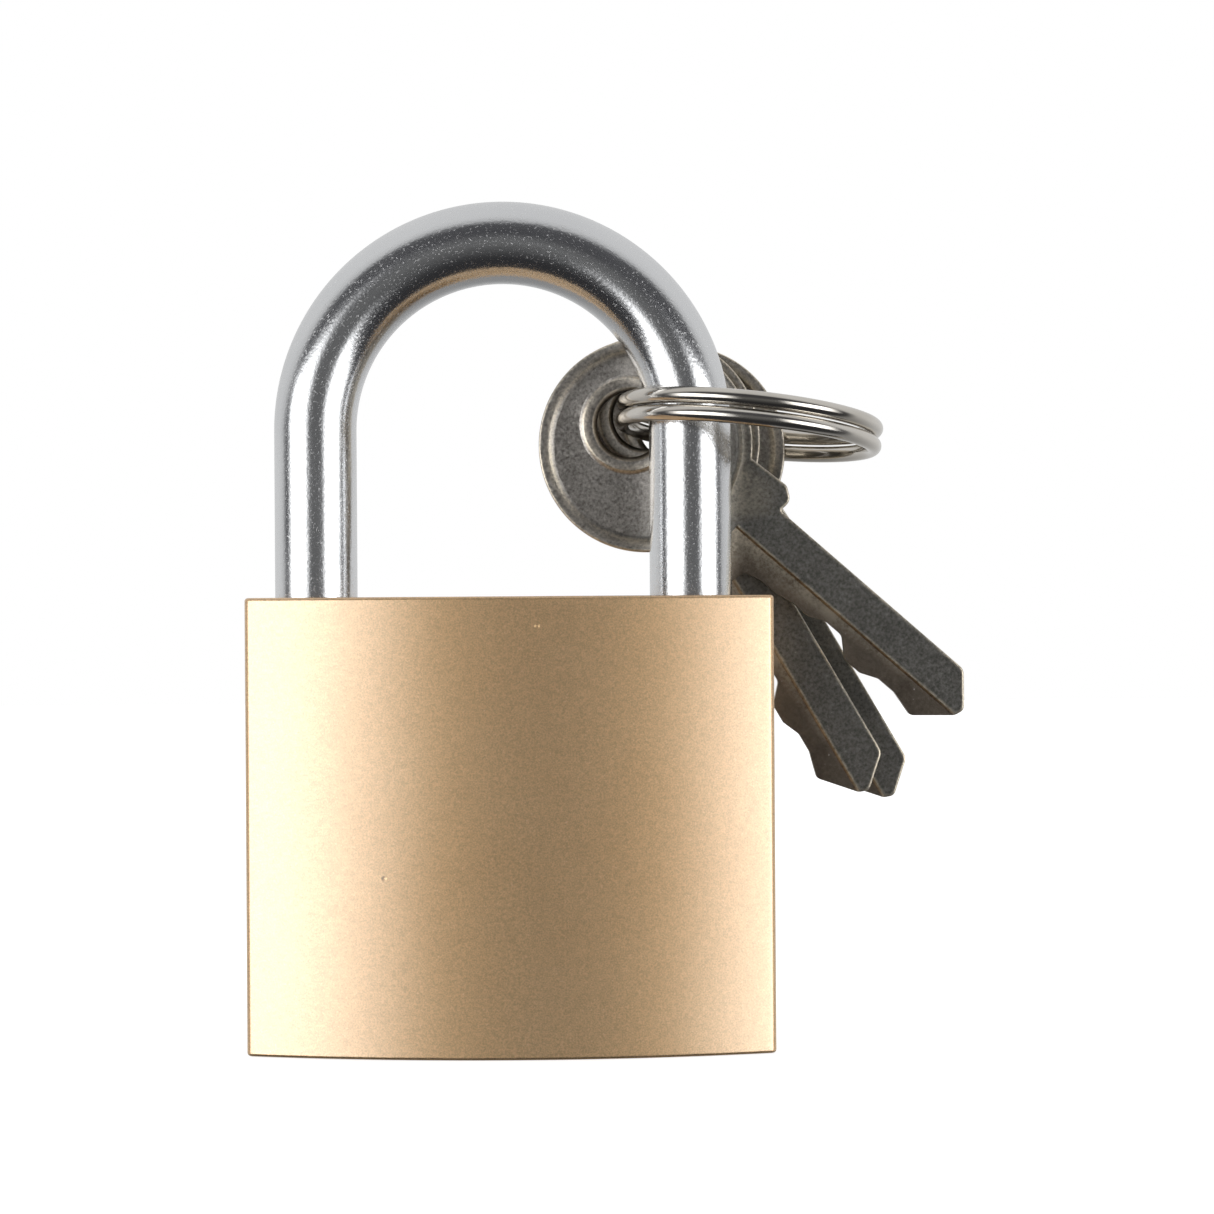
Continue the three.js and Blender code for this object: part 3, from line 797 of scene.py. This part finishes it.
def key_blank(name):
    """The key from its hole's middle: rounded edge, dished bow, raised rim and boss, and bevelled hole."""
    half = KEY_THICKNESS / 2
    bow_middle = Vector((KEY_HOLE_OFFSET, -KEY_HOLE_RISE))
    hole_middle = Vector((0, 0))
    outline = [p + bow_middle for p in key_outline()]
    # each loop around the bow and the hole: how far it is from the edge, its depth below the face, its wear
    rim_loops = ((0.72, 0, 0.7), (0.86, 0.05, 0.9), (1.12, KEY_DISH - 0.03, 0), (1.3, KEY_DISH, 0))
    boss_loops = ((1.42, KEY_DISH, 0), (1.28, KEY_DISH - 0.03, 0), (1.12, 0.03, 0.9), (1.0, 0, 0.7))
    hole_loops = ((0.42, 0, 0), (0.3, 0.03, 0.8), (0, 0.32, 0.5))
    plate = Plate()
    steps = 4
    sides = []
    for sign in (-1, 1):
        rings = []
        for k in range(steps + 1):
            turn = math.pi / 2 * k / steps
            line = inset_line(outline, KEY_EDGE * (1 - math.cos(turn)))
            height = half - KEY_EDGE * (1 - math.sin(turn))
            rings.append(plate.loop(line, sign * height, 1.0 if k < steps else 0.6))
        rings.append(plate.loop(inset_line(outline, KEY_EDGE + 0.12), sign * half))
        rim = []
        for inset, depth, wear in rim_loops:
            rim.append(plate.loop(circle(bow_middle, KEY_BOW - inset), sign * (half - depth), wear))
        boss = []
        for outset, depth, wear in boss_loops + hole_loops:
            boss.append(plate.loop(circle(hole_middle, KEY_HOLE + outset), sign * (half - depth), wear))
        for group in (rings, rim, boss):
            for first, second in zip(group, group[1:]):
                plate.band(first, second)
        plate.fill(rings[-1], rim[0])
        plate.fill(rim[-1], boss[0])
        sides.append((rings[0], boss[-1]))
    for first, second in zip(*sides):
        plate.band(first, second)
    return plate.object(name)


def key_steps():
    """The solids milled off the blade: the thin lower half in front, and a groove behind."""
    half = KEY_THICKNESS / 2
    front = half - KEY_DISH
    end = KEY_LENGTH + 4
    low = BLADE_BOTTOM - 3
    slope = [(-front, STEP_LINE - 0.2), (-half - 0.02, STEP_LINE)]
    step_section = [(-2, low), (-front, low), *slope, (-2, STEP_LINE)]
    step = prism("key_step", step_section, BLADE_START, end, "YZ")
    groove_floor = half - 0.26
    groove_section = [(2, 0.6), (groove_floor, 0.75), (groove_floor, 1.35), (2, 1.5)]
    groove = prism("key_groove", groove_section, BLADE_START + 0.6, end, "YZ")
    return step, groove


def make_keys():
    """Three copies of one key, each turned about its hinge's axis to its slope."""
    pattern = key_blank("key_pattern")
    combine(pattern, "DIFFERENCE", *key_steps())
    tidy(pattern, 38, weighted=True)
    keep_places(pattern, "key_place", [vertex.co for vertex in pattern.data.vertices])
    for name, slope in KEY_SLOPES.items():
        key = pattern.copy()
        key.data = pattern.data.copy()
        key.name = name + "_fine"
        bpy.context.scene.collection.objects.link(key)
        turn = Matrix.Rotation(math.radians(slope), 4, "Y")
        key.data.transform(Matrix.Translation(joint_place(name + "_swing") * MM) @ turn)
        place_piece(key, KEY_METAL, name + "_body", "key_nickel", name)
    bpy.data.objects.remove(pattern)


# ---------------------------------------------------------------- plug, pins, latch and springs


def plug_outline():
    """The turned plug as (height, radius): faced end, retaining groove, top and neck."""
    groove_z = box_mm("plug_retaining_pin")[2].z
    groove_low, groove_high = groove_z - GROOVE_HALF, groove_z + GROOVE_HALF
    low = PLUG_LOW.z
    outline = [(low, PLUG_RADIUS - 0.3), (low + 0.3, PLUG_RADIUS), (groove_low, PLUG_RADIUS)]
    outline += [(groove_low, GROOVE_RADIUS), (groove_high, GROOVE_RADIUS), (groove_high, PLUG_RADIUS)]
    outline += [(PLUG_TOP - 0.2, PLUG_RADIUS), (PLUG_TOP, PLUG_RADIUS - 0.2)]
    return outline + [(PLUG_TOP, NECK_RADIUS), (neck_height(), NECK_RADIUS)]


def neck_height():
    """The top of the plug's neck, just below the latch bolt."""
    return LATCH_MIDDLE.z - LATCH_RADIUS - 0.5


def keyway_section():
    """The keyway's section, narrowed by a ward. At rest the blade's thin edge points to -Y."""
    ward_x = WARD_DEPTH - KEYWAY_HALF
    return [
        (-KEYWAY_HALF, KEYWAY_EDGE),
        (-KEYWAY_HALF, -WARD_START),
        (ward_x, -WARD_START),
        (ward_x, -KEYWAY_EDGE),
        (KEYWAY_HALF, -KEYWAY_EDGE),
        (KEYWAY_HALF, KEYWAY_EDGE),
    ]


def make_plug():
    """The turning plug, with its crank pin, keyway and pin bores."""
    plug = tidy(lathe("plug_fine", plug_outline(), sides=96))
    crank_low, crank_high = neck_height() - 0.5, PLUG_HIGH.z
    crank_place = (CRANK_X, CRANK_Y, 0)
    crank = rod("crank", CRANK_RADIUS, crank_low, crank_high, crank_place, sides=32, chamfer=0.1)
    combine(plug, "UNION", tidy(crank))
    cutters = [prism("keyway", keyway_section(), PLUG_LOW.z - 1, PLUG_TOP - 0.8, "XY")]
    for i in PINS:
        place = (0, 0, box_mm(f"driver_pin_{i}")[2].z)
        cutters.append(tidy(rod(f"pin_bore_{i}", PIN_RADIUS + 0.1, -6, -0.5, place, "Y", 40)))
    combine(plug, "DIFFERENCE", *cutters)
    tidy(plug, 32, True)
    place_piece(plug, TURNED, "plug", "plug_brass", "cylinder_plug")


def make_pins():
    """The pointed key pins in the plug and the flat driver pins in the case."""
    for i in PINS:
        low, high, middle = box_mm(f"key_pin_{i}")
        outline = [(low.y, PIN_RADIUS - 0.15), (low.y + 0.15, PIN_RADIUS), (high.y - 0.7, PIN_RADIUS)]
        outline += [(high.y - 0.1, 0.55), (high.y, 0.35)]
        key_pin = tidy(lathe(f"key_pin_{i}_fine", outline, (middle.x, 0, middle.z), "Y", 40))
        place_piece(key_pin, PIN_BRASS, f"key_pin_body_{i}", "pin_brass", f"key_pin_{i}")
        low, high, middle = box_mm(f"driver_pin_{i}")
        place = (0, 0, middle.z)
        driver = tidy(rod(f"driver_pin_{i}_fine", PIN_RADIUS, low.x, high.x, place, "X", 40, 0.15))
        place_piece(driver, PIN_STEEL, f"driver_body_{i}", "pin_steel", f"driver_pin_{i}")


def make_latch():
    """The round bolt, with the slot underneath that the crank pin pushes in."""
    low, high = LATCH_LOW, LATCH_HIGH
    bolt = tidy(rod("latch_bolt_fine", LATCH_RADIUS, low.x, high.x, (0, 0, LATCH_MIDDLE.z), "X", 64, 0.25))
    slot_half = CRANK_RADIUS + 0.1
    slot_low = (CRANK_X - slot_half, -4, low.z - 1)
    slot_high = (CRANK_X + slot_half, 4, LATCH_MIDDLE.z - 0.5)
    combine(bolt, "DIFFERENCE", block("crank_slot", slot_low, slot_high))
    tidy(bolt)
    place_piece(bolt, PIN_STEEL, "latch", "latch_steel", "latch_bolt")


def make_spring(node_name, axis, wire, turns):
    """A coil spring in its CAD node's box."""
    low, high, middle = box_mm(node_name)
    along = "XYZ".index(axis)
    radius = (high - low)[(along + 1) % 3] / 2 - wire
    length = (high - low)[along] - 2 * wire
    steps = turns * 28
    path = []
    for k in range(steps + 1):
        turn = 2 * math.pi * turns * k / steps
        point = Vector(middle)
        point[along] = low[along] + wire + length * k / steps
        point[(along + 1) % 3] += radius * math.cos(turn)
        point[(along + 2) % 3] += radius * math.sin(turn)
        path.append((point, wire))
    spring = tidy(sweep(node_name + "_fine", path, 10), 60)
    place_piece(spring, WIRE_STEEL, None, "spring_steel", node_name)
    start, end = Vector(middle), Vector(middle)
    start[along], end[along] = low[along] + wire, high[along] - wire
    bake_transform(spring)


def make_springs():
    """The springs under the heel, behind the latch bolt and behind each driver pin."""
    make_spring("shackle_spring", "Z", 0.4, 5)
    make_spring("latch_spring", "X", 0.3, 5)
    for i in PINS:
        # the far end of a pin's spring stands on its cap
        make_spring(f"pin_spring_{i}", "X", 0.17, 8)


# ---------------------------------------------------------------- floor, light and camera

FLOOR_GLOW = 0.75
FLOOR_HALF = 900
# each softbox: lowest and highest azimuth from the camera's direction, + to the right, and brightness
SOFTBOXES = ((-66, -25, 3.5), (34, 70, 3.7))
SOFTBOX_BLUR = 14
SOFTBOX_BOTTOM, SOFTBOX_TOP = -18, 15
SOFTBOX_END_BLUR = 4
# the room's brightness from in front (0) to behind (1), and how far its pale back leans forward overhead
ROOM = ((0.0, 0.14), (0.2, (0.065, 0.065, 0.07)), (0.48, (0.08, 0.08, 0.085)), (0.59, 0.60), (0.75, 0.70))
ROOM_LEAN = 0.78


def make_floor():
    """A pale floor that takes a soft shadow. Reflections look past it."""
    floor = block("floor", (-FLOOR_HALF, -FLOOR_HALF, -4), (FLOOR_HALF, FLOOR_HALF, -0.05))
    material = bpy.data.materials.new("pale_floor")
    material.use_nodes = True
    shader = material.node_tree.nodes["Principled BSDF"]
    shader.inputs["Base Color"].default_value = (0.8, 0.8, 0.8, 1)
    shader.inputs["Roughness"].default_value = 0.9
    shader.inputs["Specular IOR Level"].default_value = 0.0
    shader.inputs["Emission Color"].default_value = (1, 1, 1, 1)
    shader.inputs["Emission Strength"].default_value = FLOOR_GLOW
    floor.data.materials.append(material)
    floor.visible_glossy = False
    floor.visible_diffuse = False


def soft_step(tree, value, middle, blur):
    """0 below the middle and 1 above it, with a soft edge. Degrees."""
    made = node(tree, "ShaderNodeMapRange", {"interpolation_type": "SMOOTHSTEP"}, Value=value)
    made.inputs["From Min"].default_value = math.radians(middle - blur)
    made.inputs["From Max"].default_value = math.radians(middle + blur)
    return made.outputs[0]


def soft_band(tree, value, low, high, blur):
    """1 between two angles and 0 outside them, with soft edges."""
    rise = soft_step(tree, value, low, blur)
    fall = soft_step(tree, value, high, blur)
    return maths(tree, "SUBTRACT", rise, fall)


def make_world():
    """White to the camera. Reflections see two tall softboxes, a pale wall behind and little in front."""
    world = bpy.data.worlds.new("studio")
    world.use_nodes = True
    bpy.context.scene.world = world
    tree = world.node_tree
    tree.nodes.clear()
    direction = node(tree, "ShaderNodeTexCoord").outputs["Generated"]
    split = node(tree, "ShaderNodeSeparateXYZ", Vector=direction)
    x, y, z = split.outputs
    azimuth = maths(tree, "ARCTAN2", x, maths(tree, "MULTIPLY", y, -1.0))
    elevation = maths(tree, "ARCSINE", z)
    light = None
    for low, high, brightness in SOFTBOXES:
        wide = soft_band(tree, azimuth, low, high, SOFTBOX_BLUR)
        tall = soft_band(tree, elevation, SOFTBOX_BOTTOM, SOFTBOX_TOP, SOFTBOX_END_BLUR)
        box = maths(tree, "MULTIPLY", maths(tree, "MULTIPLY", wide, tall), brightness)
        light = box if light is None else maths(tree, "ADD", light, box)
    overhead = maths(tree, "MULTIPLY", maths(tree, "MAXIMUM", z, 0.0), ROOM_LEAN)
    behind = maths(tree, "ADD", y, overhead)
    wall = ramp(tree, maths(tree, "ADD", maths(tree, "MULTIPLY", behind, 0.5), 0.5), *ROOM)
    underfoot = ramp(tree, maths(tree, "ADD", z, 1.0), (0.3, 0.55), (0.95, 0.0))
    room = mix(tree, underfoot, wall, (0.0, 0.0, 0.0))
    total = mix(tree, 1.0, room, light, "ADD")
    studio = node(tree, "ShaderNodeBackground", Color=total, Strength=1.0)
    white = node(tree, "ShaderNodeBackground", Color=(1, 1, 1, 1), Strength=1.0)
    seen = node(tree, "ShaderNodeLightPath").outputs["Is Camera Ray"]
    both = node(tree, "ShaderNodeMixShader")
    tree.links.new(seen, both.inputs[0])
    tree.links.new(studio.outputs[0], both.inputs[1])
    tree.links.new(white.outputs[0], both.inputs[2])
    out = node(tree, "ShaderNodeOutputWorld")
    tree.links.new(both.outputs[0], out.inputs[0])


def make_camera():
    """Level with the top of the case, looking straight at it from a little to the right."""
    data = bpy.data.cameras.new("camera")
    camera = bpy.data.objects.new("camera", data)
    bpy.context.scene.collection.objects.link(camera)
    away, frame_width = 250, 93.2
    right, below_top = 7.4, 0.85
    roll = math.radians(-0.37)
    camera.location = Vector((right, -away, CASE_HEIGHT - below_top)) * MM
    camera.rotation_euler = (math.radians(90), 0, 0)
    camera.rotation_euler.rotate_axis("Z", roll)
    data.sensor_width = 36
    data.lens = data.sensor_width * away / frame_width
    data.clip_start, data.clip_end = 0.01, 10
    bpy.context.scene.camera = camera


make_camera()
make_case()
make_caps()
make_shackle()
make_ring()
make_keys()
make_plug()
make_pins()
make_latch()
make_springs()
make_floor()
make_world()
bpy.context.scene.view_settings.view_transform = "Standard"
